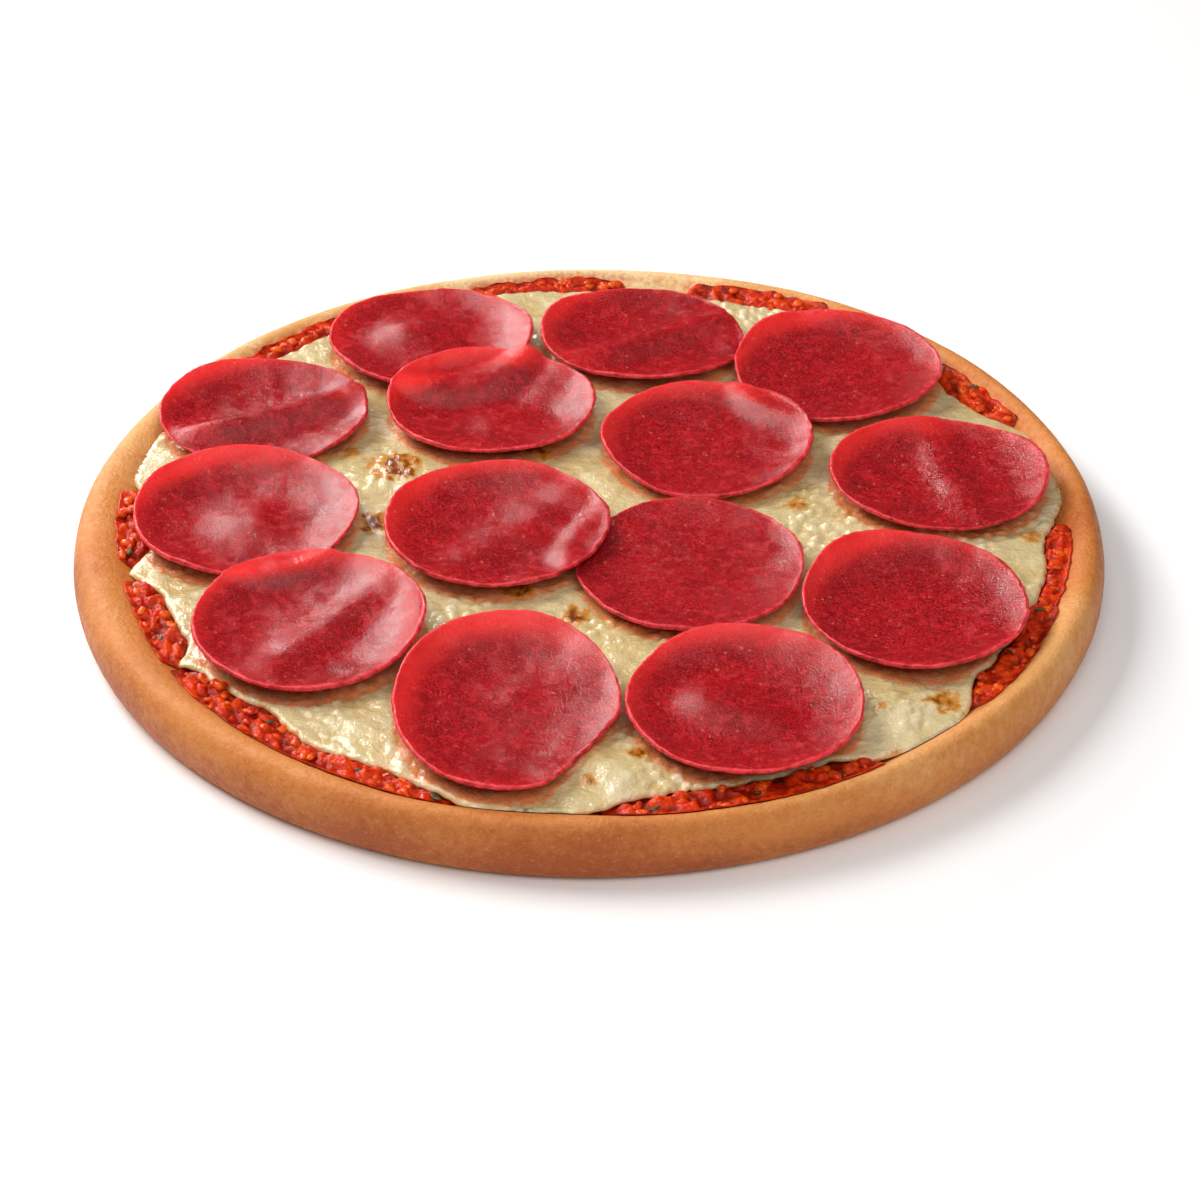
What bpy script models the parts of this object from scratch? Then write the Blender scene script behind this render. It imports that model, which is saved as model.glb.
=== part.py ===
"""A 30 cm pepperoni pan pizza: a raised-rim dough base, a tomato sauce layer, a melted
cheese layer and fourteen large cupped pepperoni slices, each a closed solid of its own.

Metres, +Z up. The origin is the centre of the flat underside; -Y is the front.
"""

import math

import bmesh
import bpy
from mathutils import Vector, noise

MM = 0.001

# The whole pizza
OUTER_RADIUS = 150.0 * MM
RIM_HEIGHT = 18.5 * MM
RIM_FOOT = 138.5 * MM  # mean radius where the topping meets the rim
WELL_FLOOR = 10.6 * MM  # dough under the topping
SAUCE_TOP = 13.2 * MM
CHEESE_UNDERSIDE = 13.6 * MM
CHEESE_TOP = 15.7 * MM
LUMP_SIZE = 4.2 * MM  # of the bared sauce
HIDDEN_SAUCE = 6.5 * MM  # how far the sauce stays inside the rim under the cheese
GAP = 0.35 * MM  # clearance between touching layers
LAYER_SEGMENTS = 96  # the same on every layer, so that their facets line up

# The pepperoni slices
SLICE_THICKNESS = 1.5 * MM
SLICE_CLEARANCE = 1.0 * MM  # between a slice and one that it lies on
SLICE_SEGMENTS = 24
CUP_POWER = 3.0  # the higher, the flatter the middle of a cupped slice
TOP_RINGS = (0.15, 0.35, 0.55, 0.75, 0.9, 1.0)  # shares of a slice's radius
UNDER_RINGS = (0.15, 0.35, 0.6, 0.85, 1.0)

# Dough cross-section as (radius, height), from the rim's inner foot over its crest to
# the flat underside
RIM_PROFILE = [
    (130.5 * MM, WELL_FLOOR),
    (134.0 * MM, 11.6 * MM),
    (136.4 * MM, 13.6 * MM),
    (138.5 * MM, 15.5 * MM),
    (140.6 * MM, 17.2 * MM),
    (143.0 * MM, 18.3 * MM),
    (145.0 * MM, RIM_HEIGHT),
    (147.2 * MM, 17.5 * MM),
    (149.1 * MM, 14.9 * MM),
    (150.0 * MM, 10.6 * MM),
    (149.6 * MM, 6.0 * MM),
    (147.8 * MM, 2.2 * MM),
    (145.2 * MM, 0.0),
]

# The uneven rim by direction: (degrees, radius in millimetres), 0 to the right and 90
# to the back. The foot is where the topping meets the rim's inner slope.
FOOT_RADII = [
    (0, 138.7), (20, 140.0), (40, 139.6), (62, 141.6), (75, 139.4), (92, 140.8),
    (110, 139.8), (135, 139.8), (160, 137.6), (175, 136.4), (190, 134.8), (200, 134.8),
    (212, 136.4), (222, 137.8), (238, 138.8), (252, 140.0), (267, 139.0), (280, 140.8),
    (294, 141.8), (310, 140.2), (324, 140.2), (342, 138.4),
]
OUTER_RADII = [
    (0, 149.2), (20, 148.6), (42, 149.6), (65, 149.2), (90, 147.2), (115, 148.0),
    (150, 148.6), (180, 149.6), (210, 150.0), (270, 150.0), (315, 150.2), (340, 149.9),
]
BACK_SAG = 0.14  # share by which the rim is lower at the back

# Where the cheese draws back from the rim and bares the sauce:
# (direction in degrees, half width in degrees, depth in millimetres, how far the
# sauce climbs past the rim's foot in millimetres)
SAUCE_PATCHES = [
    (133, 13, 6.5, 1.0),
    (96, 15, 7.0, 0.6),
    (67, 14, 6.5, 1.6),
    (31, 12, 8.0, 0.6),
    (-11, 15, 6.5, 0.6),
    (-29, 16, 8.0, 0.8),
    (-72, 20, 9.5, 2.6),
    (-117, 15, 7.5, 1.4),
    (-135, 15, 9.5, 1.2),
    (-157, 12, 10.0, 1.0),
    (-178, 11, 7.5, 1.6),
]

# Soft rises of the cheese: (x, y, radius, height) in millimetres
CHEESE_MOUNDS = [
    (4.5, -119.0, 15.0, 3.0),
    (81.0, -93.0, 9.0, 1.6),
    (112.0, -74.0, 12.0, 1.4),
    (-58.0, -103.0, 14.0, 1.0),
    (-62.0, 28.0, 16.0, 1.2),
    (5.0, 24.0, 14.0, 1.0),
    (68.0, 8.0, 14.0, 0.9),
]

# Each slice, the lowest of the pile first. Sizes are in millimetres, directions in
# degrees with 0 to the right and 90 to the back. over lists the slices it lies on;
# centre and radii are its outline; cup is the rise of the whole edge; curls are
# (direction, rise, spread) of lifted edges; folds are (direction, offset, rise, width)
# of ridges and mounds are (x, y, rise, width) of domes, with offsets, positions and
# widths as shares of the radius. cut is (direction, distance) of a straight edge,
# where a lobe of cheese has run over the slice.
SLICES = [
    dict(number=1, over=[], centre=(-49.8, 94.8), radii=(31.9, 30.0), cup=4.2,
         curls=[(5, 3.4, 40), (205, 1.4, 45), (-62, -2.6, 42)], folds=[],
         mounds=[(-0.18, 0.08, 5.6, 0.42)]),
    dict(number=2, over=[], centre=(16.1, 96.2), radii=(32.2, 29.0), cup=4.0,
         curls=[(170, 3.0, 42), (-85, 1.6, 50), (-10, -2.4, 34)],
         folds=[(35, -0.10, 4.4, 0.22)], mounds=[]),
    dict(number=3, over=[2], centre=(76.4, 76.6), radii=(32.5, 31.1), cup=4.8,
         curls=[(130, 2.4, 55), (0, 1.6, 40), (-130, -3.0, 38)], folds=[], mounds=[]),
    dict(number=4, over=[], centre=(-98.4, 51.2), radii=(32.2, 28.1), cup=3.8,
         curls=[(140, 3.2, 50), (-10, 1.2, 38), (-92, -2.4, 42)],
         folds=[(29, -0.14, 5.4, 0.20)], mounds=[]),
    dict(number=6, over=[3], centre=(35.2, 34.8), radii=(32.1, 30.2), cup=4.8,
         curls=[(110, 1.4, 50), (180, 1.6, 35), (5, 1.6, 40), (-97, -3.0, 40)],
         folds=[], mounds=[]),
    dict(number=7, over=[], centre=(102.9, 15.5), radii=(32.3, 29.3), cup=4.4,
         curls=[(140, 2.6, 45), (5, 1.8, 40), (-72, -1.6, 35)],
         folds=[(100, -0.12, 3.0, 0.20)], mounds=[]),
    dict(number=10, over=[], centre=(28.6, -30.7), radii=(32.5, 33.6), cup=3.4,
         curls=[(0, 1.6, 42), (100, 0.6, 45), (160, -2.6, 38)], folds=[],
         mounds=[(0.1, 0.0, 0.8, 0.5)]),
    dict(number=5, over=[1], centre=(-29.9, 54.8), radii=(32.3, 29.5), cup=4.4,
         curls=[(135, 3.0, 52), (10, 1.8, 40), (-80, 1.0, 45)],
         folds=[(-32, 0.22, -1.8, 0.25), (62, -0.25, 1.6, 0.25)], mounds=[]),
    dict(number=8, over=[4], centre=(-99.2, -4.9), radii=(33.3, 31.3), cup=4.6,
         curls=[(125, 3.2, 52), (-5, 1.4, 36), (-66, -3.0, 38)], folds=[],
         mounds=[(0.05, -0.08, 2.8, 0.30)]),
    dict(number=9, over=[10], centre=(-26.6, -11.8), radii=(32.8, 32.0), cup=4.4,
         curls=[(165, 2.6, 45), (95, 1.2, 45), (-5, 0.4, 35)],
         folds=[(50, -0.14, 2.2, 0.22)], mounds=[]),
    dict(number=13, over=[], centre=(-21.9, -97.9), radii=(30.6, 39.1), cup=4.8,
         curls=[(95, 3.2, 52), (175, 2.2, 42)],
         folds=[(22, 0.1, 1.5, 0.20)], mounds=[], cut=(-33, 29.5)),
    dict(number=12, over=[8], centre=(-77.0, -59.9), radii=(32.6, 33.5), cup=4.4,
         curls=[(95, 1.2, 45), (0, 4.6, 38), (185, 0.8, 40)],
         folds=[(53, -0.15, 3.2, 0.20)], mounds=[]),
    dict(number=11, over=[], centre=(90.6, -50.7), radii=(31.9, 32.6), cup=4.6,
         curls=[(132, 3.2, 45), (10, 1.2, 40), (-50, 0.6, 40)], folds=[], mounds=[]),
    dict(number=14, over=[], centre=(41.8, -97.7), radii=(32.7, 32.8), cup=5.2,
         curls=[(90, 1.2, 60), (0, 1.0, 45)], folds=[],
         mounds=[(-0.24, 0.05, 4.0, 0.30), (0.14, -0.16, 2.4, 0.24)]),
]

# Finishes as (red, green, blue), roughness
DOUGH_FINISH = ((0.72, 0.40, 0.18), 0.62)
SAUCE_FINISH = ((0.50, 0.07, 0.02), 0.30)
CHEESE_FINISH = ((0.88, 0.80, 0.58), 0.35)
MEAT_FINISH = ((0.55, 0.04, 0.05), 0.38)


def heading(angle):
    """Cosine and sine of a direction in degrees."""
    return math.cos(math.radians(angle)), math.sin(math.radians(angle))


def polar(radius, angle, height):
    """The point at that radius, direction in degrees and height."""
    x, y = heading(angle)
    return Vector((radius * x, radius * y, height))


def smooth_step(low, high, value):
    """0 below low, 1 above high, with a smooth rise between them."""
    share = min(max((value - low) / (high - low), 0.0), 1.0)
    return share * share * (3.0 - 2.0 * share)


def smooth_max(a, b, blend):
    """The larger of a and b, rounded where they cross and never below either."""
    spare = max(blend - abs(a - b), 0.0) / blend
    return max(a, b) + spare * spare * blend * 0.25


def turn_between(a, b):
    """The turn from direction b to direction a, from -180 to 180 degrees."""
    return (a - b + 180.0) % 360.0 - 180.0


def around(radii, angle):
    """Smooth value at a direction in degrees, from (direction, millimetres) pairs."""
    turn = angle % 360.0
    for index, (start, value) in enumerate(radii):
        end, next_value = radii[(index + 1) % len(radii)]
        end = end if end > start else end + 360.0
        if start <= turn <= end:
            return (value + (next_value - value) * smooth_step(start, end, turn)) * MM
    return radii[0][1] * MM


def rim_point(radius, height, angle):
    """A point of the plain rim profile, moved to the uneven rim: (radius, height)."""
    outward = min(max((radius - RIM_FOOT) / (OUTER_RADIUS - RIM_FOOT), 0.0), 1.0)
    shift_in = around(FOOT_RADII, angle) - RIM_FOOT
    shift_out = around(OUTER_RADII, angle) - OUTER_RADIUS
    sag = BACK_SAG * 0.5 * (1.0 + math.sin(math.radians(angle)))
    sunk = max(height - WELL_FLOOR, 0.0) * sag
    return radius + shift_in * (1.0 - outward) + shift_out * outward, height - sunk


def dough_height(radius, angle):
    """Height of the well floor and the rim's inner slope, out to the crest."""
    inner = rim_point(*RIM_PROFILE[0], angle)
    for point in RIM_PROFILE[1:7]:
        outer = rim_point(*point, angle)
        if radius <= outer[0]:
            share = max(radius - inner[0], 0.0) / (outer[0] - inner[0])
            return inner[1] + share * (outer[1] - inner[1])
        inner = outer
    return inner[1]


def bared_patch(angle):
    """How far the cheese stands back from the rim, and how far the sauce climbs it."""
    depth, climb = 0.0, 0.0
    for direction, half_width, patch_depth, patch_climb in SAUCE_PATCHES:
        share = 1.0 - smooth_step(0.55, 1.0, abs(turn_between(angle, direction)) / half_width)
        if patch_depth * share > depth:
            depth, climb = patch_depth * share, patch_climb
    return depth * MM, climb * MM


def cheese_edge(angle):
    """Radius of the cheese's outer edge."""
    ripple = noise.noise(polar(9.0, angle, 2.7))
    depth, _ = bared_patch(angle)
    return around(FOOT_RADII, angle) + 0.4 * MM - depth * (1.0 + 0.25 * ripple)


def sauce_shown(angle):
    """1 where the sauce is bared on this line and its two neighbours, 0 where covered."""
    step = 360.0 / LAYER_SEGMENTS
    depth = min(bared_patch(angle + turn)[0] for turn in (-step, 0.0, step))
    return smooth_step(4.0 * MM, 6.0 * MM, depth)


def sauce_edge(angle):
    """Radius of the sauce's outer edge: up the rim where it is bare, else hidden."""
    depth, climb = bared_patch(angle)
    reach = (HIDDEN_SAUCE + climb) * sauce_shown(angle)
    edge = around(FOOT_RADII, angle) - HIDDEN_SAUCE + reach
    return max(edge, cheese_edge(angle) + 1.4 * MM) if depth > 4.0 * MM else edge


def sauce_floor(radius, angle):
    """Height of the sauce's underside, a little clearer of the dough up on the rim."""
    on_rim = smooth_step(-2.0 * MM, 1.0 * MM, radius - around(FOOT_RADII, angle))
    return dough_height(radius, angle) + GAP + 0.25 * MM * on_rim


def sauce_height(radius, angle):
    """Height of the sauce's upper surface: level under the cheese, lumpy where bare."""
    floor = sauce_floor(radius, angle)
    level = max(SAUCE_TOP, floor + 0.5 * MM)
    bare = smooth_step(0.2 * MM, 1.8 * MM, radius - cheese_edge(angle))
    lumps = 0.5 + noise.noise(polar(radius, angle, 0.0) / LUMP_SIZE)
    heap = max(CHEESE_TOP + (lumps - 0.3) * 1.6 * MM, floor + 0.9 * MM)
    thin_edge = 1.0 - smooth_step(-2.2 * MM, 0.0, radius - sauce_edge(angle))
    heap = floor + 0.5 * MM + (heap - floor - 0.5 * MM) * (0.25 + 0.75 * thin_edge)
    return level + max(heap - level, 0.0) * bare * sauce_shown(angle)


def cheese_height(x, y):
    """Height of the cheese's upper surface, away from its edge."""
    waves = 0.25 * math.sin(x / (11.0 * MM) + 0.6) * math.cos(y / (13.0 * MM))
    waves += 0.15 * math.sin((x + 0.7 * y) / (7.0 * MM))
    height = CHEESE_TOP + waves * MM
    for mound_x, mound_y, radius, rise in CHEESE_MOUNDS:
        distance = math.hypot(x - mound_x * MM, y - mound_y * MM)
        height += rise * MM * math.exp(-((distance / (radius * MM)) ** 2))
    return height


def slice_spot(piece, x, y):
    """Where x, y lies on a slice: share of the radius, direction, and both shares."""
    across = (x - piece["centre"][0] * MM) / (piece["radii"][0] * MM)
    along = (y - piece["centre"][1] * MM) / (piece["radii"][1] * MM)
    return math.hypot(across, along), math.degrees(math.atan2(along, across)), across, along


def slice_form(piece, x, y):
    """A slice's own form over the cheese: its cupped edge, curls, ridges and domes."""
    reach, direction, across, along = slice_spot(piece, x, y)
    rise = piece["cup"] * reach ** CUP_POWER
    for curl_direction, curl_rise, spread in piece["curls"]:
        turn = turn_between(direction, curl_direction)
        rise += curl_rise * math.exp(-((turn / spread) ** 2)) * reach ** CUP_POWER
    inside = max(1.0 - reach ** 4, 0.0)
    for fold_direction, offset, fold_rise, width in piece["folds"]:
        fold_x, fold_y = heading(fold_direction)
        distance = along * fold_x - across * fold_y - offset
        rise += fold_rise * math.exp(-((distance / width) ** 2)) * inside
    for mound_x, mound_y, mound_rise, width in piece["mounds"]:
        distance = math.hypot(across - mound_x, along - mound_y)
        rise += mound_rise * math.exp(-((distance / width) ** 2)) * inside
    return rise * MM


def slice_underside(index, x, y):
    """Height of a slice's underside, lifted by the cheese and by the slices below it."""
    piece = SLICES[index]
    height = CHEESE_TOP + 0.7 * MM + slice_form(piece, x, y)
    height = smooth_max(height, cheese_height(x, y) + 0.55 * MM, 0.6 * MM)
    rim = dough_height(math.hypot(x, y), math.degrees(math.atan2(y, x)))
    height = smooth_max(height, rim + 0.6 * MM, 0.6 * MM)
    for lower_index, lower in enumerate(SLICES[:index]):
        if lower["number"] not in piece["over"]:
            continue
        reach = slice_spot(lower, x, y)[0]
        beyond = max(reach - 1.0, 0.0) * lower["radii"][0] * MM
        if beyond > 12.0 * MM:
            continue
        shrink = min(1.0, 1.0 / max(reach, 1e-6))
        near_x = lower["centre"][0] * MM + (x - lower["centre"][0] * MM) * shrink
        near_y = lower["centre"][1] * MM + (y - lower["centre"][1] * MM) * shrink
        support = slice_underside(lower_index, near_x, near_y) + SLICE_THICKNESS * 1.15
        support += SLICE_CLEARANCE - 0.7 * max(beyond - 3.0 * MM, 0.0)
        height = smooth_max(height, support, 1.2 * MM)
    return height


def finish_material(name, finish):
    """A plain material of the part's colour and roughness."""
    colour, roughness = finish
    material = bpy.data.materials.new(name)
    material.use_nodes = True
    shader = material.node_tree.nodes["Principled BSDF"]
    shader.inputs["Base Color"].default_value = (*colour, 1.0)
    shader.inputs["Roughness"].default_value = roughness
    shader.inputs["Metallic"].default_value = 0.0
    return material


def turned_mesh(name, profile, segments):
    """A closed mesh turned about Z from a profile that starts and ends on the axis."""
    mesh = bpy.data.meshes.new(name)
    points = [(radius, 0.0, height) for radius, height in profile]
    mesh.from_pydata(points, [(i, i + 1) for i in range(len(points) - 1)], [])
    blank = bpy.data.objects.new(name, mesh)
    bpy.context.scene.collection.objects.link(blank)
    screw = blank.modifiers.new("turn", "SCREW")
    screw.axis = "Z"
    screw.angle = math.tau
    screw.steps = segments
    screw.render_steps = segments
    screw.use_merge_vertices = True
    screw.merge_threshold = 0.00001
    graph = bpy.context.evaluated_depsgraph_get()
    turned = bpy.data.meshes.new_from_object(blank.evaluated_get(graph))
    bpy.data.objects.remove(blank)
    shape = bmesh.new()
    shape.from_mesh(turned)
    bmesh.ops.remove_doubles(shape, verts=shape.verts, dist=0.00001)
    bmesh.ops.recalc_face_normals(shape, faces=shape.faces)
    shape.to_mesh(turned)
    shape.free()
    return turned


def add_piece(name, mesh, material, collection):
    """Shows a mesh as a named object in the part's collection."""
    mesh.materials.clear()
    mesh.materials.append(material)
    mesh.shade_smooth()
    piece = bpy.data.objects.new(name, mesh)
    collection.objects.link(piece)
    return piece


def layer_mesh(name, top_shares, bottom_shares, segments, place):
    """A turned flat disc whose points are then put where place(share, angle, top) says."""
    profile = [(0.0, 0.0)] + [(share, 0.0) for share in bottom_shares]
    profile += [(share, 1.0) for share in reversed(top_shares)] + [(0.0, 1.0)]
    mesh = turned_mesh(name, profile, segments)
    for vertex in mesh.vertices:
        share = math.hypot(vertex.co.x, vertex.co.y)
        angle = math.degrees(math.atan2(vertex.co.y, vertex.co.x))
        vertex.co = place(share, angle, vertex.co.z > 0.5)
    return mesh


def build_crust(collection):
    """The dough: a flat round base with a raised, slightly uneven rim."""
    profile = [(0.0, WELL_FLOOR)] + RIM_PROFILE + [(0.0, 0.0)]
    mesh = turned_mesh("crust", profile, LAYER_SEGMENTS)
    for vertex in mesh.vertices:
        radius = math.hypot(vertex.co.x, vertex.co.y)
        if radius < RIM_PROFILE[0][0] - 1.0 * MM:
            continue
        angle = math.degrees(math.atan2(vertex.co.y, vertex.co.x))
        if vertex.co.z < 8.0 * MM:
            radius += around(OUTER_RADII, angle) - OUTER_RADIUS
            vertex.co = polar(radius, angle, vertex.co.z)
        else:
            radius, height = rim_point(radius, vertex.co.z, angle)
            vertex.co = polar(radius, angle, height)
    add_piece("crust", mesh, finish_material("baked dough", DOUGH_FINISH), collection)


def build_sauce(collection):
    """The tomato sauce: a thin layer that shows, lumpy, where the cheese draws back."""
    split = 0.6  # share of the rings that lies under the cheese

    def place(share, angle, top):
        edge = sauce_edge(angle)
        covered = min(cheese_edge(angle) + 0.2 * MM, edge - 1.2 * MM)
        if share <= split:
            radius = covered * share / split
        else:
            radius = covered + (edge - covered) * (share - split) / (1.0 - split)
        height = sauce_height(radius, angle) if top else sauce_floor(radius, angle)
        return polar(radius, angle, height)

    shares = (0.3, 0.6, 0.7, 0.8, 0.9, 1.0)
    mesh = layer_mesh("sauce", shares, (0.55, 0.6, 0.8, 1.0), LAYER_SEGMENTS, place)
    add_piece("sauce", mesh, finish_material("tomato sauce", SAUCE_FINISH), collection)


def build_cheese(collection):
    """The melted cheese: a soft sheet over the sauce, up to the rim or short of it."""

    def place(share, angle, top):
        radius = cheese_edge(angle) * share
        steps = (-360.0 / LAYER_SEGMENTS, 0.0, 360.0 / LAYER_SEGMENTS)
        clearance = GAP + 0.3 * MM * smooth_step(0.93, 0.965, share)
        support = max(dough_height(radius, angle + step) for step in steps) + GAP
        if radius < max(sauce_edge(angle + step) for step in steps) + 1.0 * MM:
            sauce = max(sauce_height(radius, angle + step) for step in steps)
            support = max(support, sauce + clearance)
        bottom = max(CHEESE_UNDERSIDE, support)
        if not top:
            return polar(radius, angle, bottom)
        spot = polar(radius, angle, 0.0)
        height = cheese_height(spot.x, spot.y) - 0.9 * MM * smooth_step(0.975, 1.0, share)
        return polar(radius, angle, max(height, bottom + 0.7 * MM))

    top_shares = (0.23, 0.42, 0.57, 0.7, 0.82, 0.91, 0.965, 0.985, 1.0)
    mesh = layer_mesh("cheese", top_shares, (0.6, 0.93, 0.965, 1.0), LAYER_SEGMENTS, place)
    add_piece("cheese", mesh, finish_material("melted cheese", CHEESE_FINISH), collection)


def slice_point(index, share, angle, level):
    """A slice's point at a share of its radius; level is 0 underneath and 1 on top."""
    piece = SLICES[index]
    outline = 1.0 + 0.012 * math.cos(math.radians(2 * angle + 70 * index))
    outline += 0.008 * math.cos(math.radians(5 * angle + 40 * index))
    across, along = heading(angle)
    x = piece["radii"][0] * across * outline
    y = piece["radii"][1] * along * outline
    if "cut" in piece:
        cut_direction, distance = piece["cut"]
        cut_x, cut_y = heading(cut_direction)
        trim = min(1.0, distance / max(x * cut_x + y * cut_y, distance))
        x, y = x * trim, y * trim
    x = (piece["centre"][0] + x * share) * MM
    y = (piece["centre"][1] + y * share) * MM
    step = 0.5 * MM
    height = slice_underside(index, x, y)
    slope_x = (slice_underside(index, x + step, y) - height) / step
    slope_y = (slice_underside(index, x, y + step) - height) / step
    normal = Vector((-slope_x, -slope_y, 1.0)).normalized()
    return Vector((x, y, height)) + normal * SLICE_THICKNESS * level


def build_slices(collection):
    """The pepperoni: thin round slices, cupped by the oven and lying over each other."""
    material = finish_material("pepperoni", MEAT_FINISH)
    for index, piece in enumerate(SLICES):
        name = f"pepperoni_{piece['number']:02d}"

        def place(share, angle, top, index=index):
            return slice_point(index, share, angle, 1.0 if top else 0.0)

        mesh = layer_mesh(name, TOP_RINGS, UNDER_RINGS, SLICE_SEGMENTS, place)
        add_piece(name, mesh, material, collection)


def main():
    for old in list(bpy.data.objects):
        bpy.data.objects.remove(old)
    collection = bpy.data.collections.new("pan pizza")
    bpy.context.scene.collection.children.link(collection)
    build_crust(collection)
    build_sauce(collection)
    build_cheese(collection)
    build_slices(collection)


main()
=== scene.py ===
import math
import random

import bmesh
import bpy
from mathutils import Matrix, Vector, kdtree, noise
from mathutils.bvhtree import BVHTree


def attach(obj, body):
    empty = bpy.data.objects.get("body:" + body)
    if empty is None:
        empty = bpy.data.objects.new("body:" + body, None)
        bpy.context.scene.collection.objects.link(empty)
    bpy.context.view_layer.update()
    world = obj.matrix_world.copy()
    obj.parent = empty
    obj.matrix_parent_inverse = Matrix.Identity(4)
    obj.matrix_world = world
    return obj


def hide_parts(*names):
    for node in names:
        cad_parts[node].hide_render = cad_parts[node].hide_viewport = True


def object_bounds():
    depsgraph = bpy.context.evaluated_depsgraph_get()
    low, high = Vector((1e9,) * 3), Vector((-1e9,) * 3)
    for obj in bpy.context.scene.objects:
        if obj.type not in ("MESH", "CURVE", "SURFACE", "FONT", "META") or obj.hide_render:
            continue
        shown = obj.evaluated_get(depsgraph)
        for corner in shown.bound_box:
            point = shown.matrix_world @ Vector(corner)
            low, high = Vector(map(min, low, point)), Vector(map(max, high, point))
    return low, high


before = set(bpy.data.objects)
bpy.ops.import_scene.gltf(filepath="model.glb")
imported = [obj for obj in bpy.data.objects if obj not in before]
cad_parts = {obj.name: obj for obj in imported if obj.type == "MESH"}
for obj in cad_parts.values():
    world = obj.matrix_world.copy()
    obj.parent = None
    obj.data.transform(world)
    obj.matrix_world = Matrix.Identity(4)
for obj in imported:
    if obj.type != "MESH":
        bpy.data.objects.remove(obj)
cadLow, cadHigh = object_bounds()
mm = 0.001
# directions are in degrees: 0 is to the right, 90 to the back

cameraView = {
    "place": (0.00308, -0.83131, 0.56148),
    "tilt": 55.321,  # degrees up from straight down
    "lens": 102.54,  # mm, on a 36 mm sensor
}
studioLight = {
    # name: (direction, height angle, distance in m, width, depth, watts, colour)
    "leftWindow": (158, 48, 1.3, 0.8, 0.6, 14.0, (1.0, 0.98, 0.95)),
    "backPanel": (122, 23, 1.5, 0.4, 0.3, 10.0, (1.0, 0.99, 0.98)),
    "topWash": (-20, 82, 1.4, 1.4, 1.4, 4.0, (1.0, 1.0, 1.0)),
    "frontFill": (-75, 50, 1.4, 1.2, 0.9, 9.0, (1.0, 0.98, 0.96)),
}
studioAir = {"colour": (0.96, 0.98, 1.0), "strength": 0.08, "floorTone": 0.97, "floorSize": 8.0}


def setCamera():
    lens = bpy.data.cameras.new("studioCamera")
    lens.lens = cameraView["lens"]
    lens.sensor_width = 36.0
    lens.clip_start = 0.01
    camera = bpy.data.objects.new("studioCamera", lens)
    camera.location = cameraView["place"]
    camera.rotation_euler = (math.radians(cameraView["tilt"]), 0.0, 0.0)
    bpy.context.scene.collection.objects.link(camera)
    bpy.context.scene.camera = camera


def setLights():
    for name, (direction, height, distance, width, depth, watts, colour) in studioLight.items():
        lamp = bpy.data.lights.new(name, "AREA")
        lamp.shape = "RECTANGLE"
        lamp.size = width
        lamp.size_y = depth
        lamp.energy = watts
        lamp.color = colour
        light = bpy.data.objects.new(name, lamp)
        across, up = heading(height)
        spot = polar(across, direction, up) * distance
        light.location = spot
        light.rotation_euler = (-spot).to_track_quat("-Z", "Y").to_euler()
        bpy.context.scene.collection.objects.link(light)
    world = bpy.data.worlds.new("studioAir")
    world.use_nodes = True
    air = world.node_tree.nodes["Background"]
    air.inputs["Color"].default_value = (*studioAir["colour"], 1.0)
    air.inputs["Strength"].default_value = studioAir["strength"]
    bpy.context.scene.world = world
    bpy.context.scene.view_settings.view_transform = "Standard"


# helpers for shapes

def heading(angle):
    return math.cos(math.radians(angle)), math.sin(math.radians(angle))


def polar(radius, angle, height):
    x, y = heading(angle)
    return Vector((radius * x, radius * y, height))


def smoothStep(low, high, value):
    share = min(max((value - low) / (high - low), 0.0), 1.0)
    return share * share * (3.0 - 2.0 * share)


def smoothMax(a, b, blend):
    spare = max(blend - abs(a - b), 0.0) / blend
    return max(a, b) + spare * spare * blend * 0.25


def turnBetween(a, b):
    return (a - b + 180.0) % 360.0 - 180.0


def ripple(point, size, seed=0.0):
    # smooth noise from -1 to 1, with bumps about this size
    return noise.noise(Vector(point) / size + Vector((seed, 1.7 * seed, 0.3 * seed)))


def lumps(point, size, seed=0.0):
    # rounded lumps side by side: 1 at the middle of each and 0 in the creases between
    near = noise.voronoi(Vector(point) / size + Vector((seed, 0.4 * seed, 2.1 * seed)))[0]
    return smoothStep(0.0, 0.55, near[1] - near[0])


def subdivided(mesh, levels):
    # the mesh after Subdivision Surface, as plain geometry
    blank = bpy.data.objects.new(mesh.name, mesh)
    bpy.context.scene.collection.objects.link(blank)
    rounder = blank.modifiers.new("rounder", "SUBSURF")
    rounder.levels = levels
    rounder.render_levels = levels
    graph = bpy.context.evaluated_depsgraph_get()
    fine = bpy.data.meshes.new_from_object(blank.evaluated_get(graph))
    bpy.data.objects.remove(blank)
    return fine


def meshFrom(shape, name):
    bmesh.ops.recalc_face_normals(shape, faces=shape.faces)
    mesh = bpy.data.meshes.new(name)
    shape.to_mesh(mesh)
    shape.free()
    return mesh


def turnedShape(points, segments):
    # a profile of (radius, height) points, turned a full circle about Z
    shape = bmesh.new()
    line = [shape.verts.new((radius, 0.0, height)) for radius, height in points]
    edges = [shape.edges.new(pair) for pair in zip(line, line[1:])]
    bmesh.ops.spin(shape, geom=line + edges, axis=(0, 0, 1), cent=(0, 0, 0), dvec=(0, 0, 0),
                   angle=math.tau, steps=segments, use_merge=True, use_normal_flip=False,
                   use_duplicate=False)
    bmesh.ops.remove_doubles(shape, verts=shape.verts, dist=0.000001)
    return shape


def addValues(mesh, name, values):
    layer = mesh.attributes.new(name, "FLOAT", "POINT")
    layer.data.foreach_set("value", values)


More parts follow.
